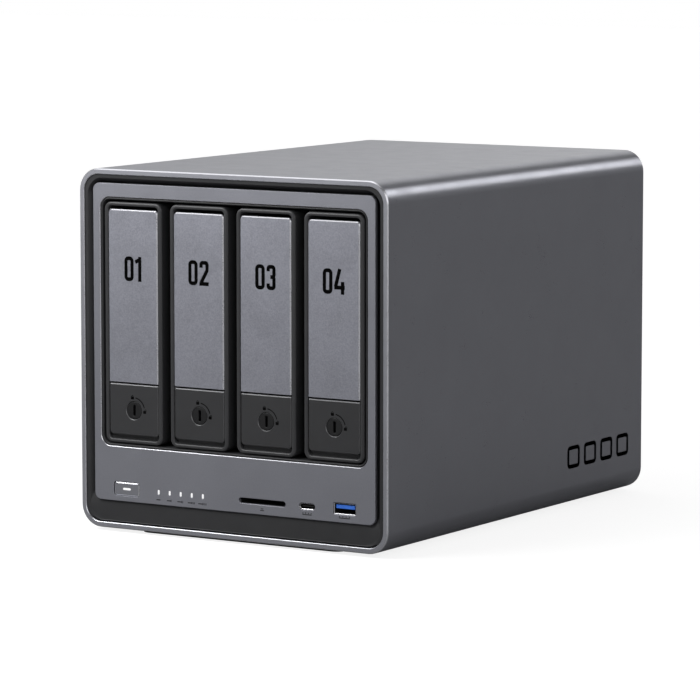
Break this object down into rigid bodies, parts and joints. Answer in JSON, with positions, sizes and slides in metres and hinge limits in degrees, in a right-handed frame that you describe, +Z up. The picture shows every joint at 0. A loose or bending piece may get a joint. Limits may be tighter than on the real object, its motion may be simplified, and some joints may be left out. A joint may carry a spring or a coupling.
{
  "type": "nas enclosure",
  "caption": "Desktop network storage enclosure: metal sleeve, slide-out drive trays with swing handles, press latches and key locks, front ports, rear fan behind a dust filter.",
  "frame": {"origin": "on the floor, centred under the bounding box of the case", "axes": "+Z up, +X to the right seen from the front, -Y out of the tray fronts, so +Y runs back along the case's length"},
  "size_m": [0.1782, 0.2574, 0.18],
  "materials": {
    "sleeve_metal": "bead-blasted and anodised grey",
    "fascia_metal": "fine bead-blasted, anodised light grey",
    "plate_metal": "fine bead-blasted, anodised light grey",
    "black_plastic": "fine moulded texture",
    "tray_plastic": "fine moulded texture",
    "latch_plastic": "fine moulded texture",
    "lock_plastic": "smooth moulded",
    "connector_plastic": "smooth moulded",
    "rear_plastic": "fine powder coat",
    "fan_plastic": "semi-matt moulded",
    "filter_frame": "matt mesh",
    "button_plastic": "fine bead-blasted",
    "button_white": "smooth moulded",
    "light_pipe": "frosted light pipe",
    "foot_rubber": "matt",
    "sheet_steel": "zinc-plated sheet",
    "screw_steel": "black oxide",
    "pin_steel": "ground",
    "magnet_steel": "nickel plated",
    "port_shell": "nickel-plated stamped shell",
    "brass": "turned",
    "heatsink_metal": "extruded",
    "circuit_board": "green solder mask"
  },
  "bodies": {
    "chassis": {"shell": "sleeve_metal", "front_bezel": "black_plastic", "front_fascia": "fascia_metal", "drive_cage": "sheet_steel", "cage_guides": "sheet_steel", "cage_screws": "screw_steel", "backplane_board": "circuit_board", "backplane_connectors": "connector_plastic", "main_board": "circuit_board", "board_standoffs": "brass", "cpu_heatsink": "heatsink_metal", "memory_socket": "connector_plastic", "memory_module": "circuit_board", "front_io_board": "circuit_board", "sd_slot": "connector_plastic", "usb_c_port": "port_shell", "usb_a_port": "port_shell", "status_lights": "light_pipe", "rear_panel": "rear_plastic", "panel_screws": "screw_steel", "fan_frame": "fan_plastic", "fan_screws": "screw_steel", "lan_ports": "port_shell", "hdmi_port": "port_shell", "rear_usb_ports": "port_shell", "dc_inlet": "connector_plastic", "base_cover": "sleeve_metal", "cover_screws": "screw_steel", "foot_front": "foot_rubber", "foot_rear": "foot_rubber"},
    "power_button": {"power_button": "button_plastic", "button_light": "light_pipe"},
    "reset_button": {"reset_button": "button_white"},
    "fan_rotor": {"fan_rotor": "fan_plastic"},
    "dust_filter": {"dust_filter": "filter_frame", "filter_magnets": "magnet_steel"},
    "tray_1": {"tray_1": "tray_plastic", "hinge_pin_1": "pin_steel"},
    "handle_1": {"handle_1": "black_plastic", "face_plate_1": "plate_metal"},
    "latch_1": {"latch_1": "latch_plastic"},
    "lock_1": {"lock_1": "lock_plastic"},
    "tray_2": {"tray_2": "tray_plastic", "hinge_pin_2": "pin_steel"},
    "handle_2": {"handle_2": "black_plastic", "face_plate_2": "plate_metal"},
    "latch_2": {"latch_2": "latch_plastic"},
    "lock_2": {"lock_2": "lock_plastic"},
    "tray_3": {"tray_3": "tray_plastic", "hinge_pin_3": "pin_steel"},
    "handle_3": {"handle_3": "black_plastic", "face_plate_3": "plate_metal"},
    "latch_3": {"latch_3": "latch_plastic"},
    "lock_3": {"lock_3": "lock_plastic"},
    "tray_4": {"tray_4": "tray_plastic", "hinge_pin_4": "pin_steel"},
    "handle_4": {"handle_4": "black_plastic", "face_plate_4": "plate_metal"},
    "latch_4": {"latch_4": "latch_plastic"},
    "lock_4": {"lock_4": "lock_plastic"}
  },
  "joints": [
    {"name": "power_press", "type": "slide", "parent": "chassis", "child": "power_button", "axis": [0, 1, 0], "range_m": [0, 0.0006], "stiffness_N_per_m": 900},
    {"name": "reset_press", "type": "slide", "parent": "chassis", "child": "reset_button", "axis": [0, -1, 0], "range_m": [0, 0.0005], "stiffness_N_per_m": 900},
    {"name": "fan_spin", "type": "hinge", "parent": "chassis", "child": "fan_rotor", "pos_m": [0, 0.11075, 0.10675], "axis": [0, 1, 0], "continuous": true},
    {"name": "filter_pull", "type": "slide", "parent": "chassis", "child": "dust_filter", "axis": [0, 1, 0], "range_m": [0, 0.03]},
    {"name": "tray_slide_1", "type": "slide", "parent": "chassis", "child": "tray_1", "axis": [0, -1, 0], "range_m": [0, 0.175]},
    {"name": "handle_swing_1", "type": "hinge", "parent": "tray_1", "child": "handle_1", "pos_m": [-0.05813, -0.12225, 0.1542], "axis": [-1, 0, 0], "range_deg": [0, 60]},
    {"name": "latch_press_1", "type": "slide", "parent": "tray_1", "child": "latch_1", "axis": [0, 1, 0], "range_m": [0, 0.0015], "stiffness_N_per_m": 900},
    {"name": "lock_turn_1", "type": "hinge", "parent": "latch_1", "child": "lock_1", "pos_m": [-0.05813, -0.12705, 0.0612], "axis": [0, 1, 0], "range_deg": [0, 90]},
    {"name": "tray_slide_2", "type": "slide", "parent": "chassis", "child": "tray_2", "axis": [0, -1, 0], "range_m": [0, 0.175]},
    {"name": "handle_swing_2", "type": "hinge", "parent": "tray_2", "child": "handle_2", "pos_m": [-0.01937, -0.12225, 0.1542], "axis": [-1, 0, 0], "range_deg": [0, 60]},
    {"name": "latch_press_2", "type": "slide", "parent": "tray_2", "child": "latch_2", "axis": [0, 1, 0], "range_m": [0, 0.0015], "stiffness_N_per_m": 900},
    {"name": "lock_turn_2", "type": "hinge", "parent": "latch_2", "child": "lock_2", "pos_m": [-0.01937, -0.12705, 0.0612], "axis": [0, 1, 0], "range_deg": [0, 90]},
    {"name": "tray_slide_3", "type": "slide", "parent": "chassis", "child": "tray_3", "axis": [0, -1, 0], "range_m": [0, 0.175]},
    {"name": "handle_swing_3", "type": "hinge", "parent": "tray_3", "child": "handle_3", "pos_m": [0.01937, -0.12225, 0.1542], "axis": [-1, 0, 0], "range_deg": [0, 60]},
    {"name": "latch_press_3", "type": "slide", "parent": "tray_3", "child": "latch_3", "axis": [0, 1, 0], "range_m": [0, 0.0015], "stiffness_N_per_m": 900},
    {"name": "lock_turn_3", "type": "hinge", "parent": "latch_3", "child": "lock_3", "pos_m": [0.01937, -0.12705, 0.0612], "axis": [0, 1, 0], "range_deg": [0, 90]},
    {"name": "tray_slide_4", "type": "slide", "parent": "chassis", "child": "tray_4", "axis": [0, -1, 0], "range_m": [0, 0.175]},
    {"name": "handle_swing_4", "type": "hinge", "parent": "tray_4", "child": "handle_4", "pos_m": [0.05813, -0.12225, 0.1542], "axis": [-1, 0, 0], "range_deg": [0, 60]},
    {"name": "latch_press_4", "type": "slide", "parent": "tray_4", "child": "latch_4", "axis": [0, 1, 0], "range_m": [0, 0.0015], "stiffness_N_per_m": 900},
    {"name": "lock_turn_4", "type": "hinge", "parent": "latch_4", "child": "lock_4", "pos_m": [0.05813, -0.12705, 0.0612], "axis": [0, 1, 0], "range_deg": [0, 90]}
  ]
}
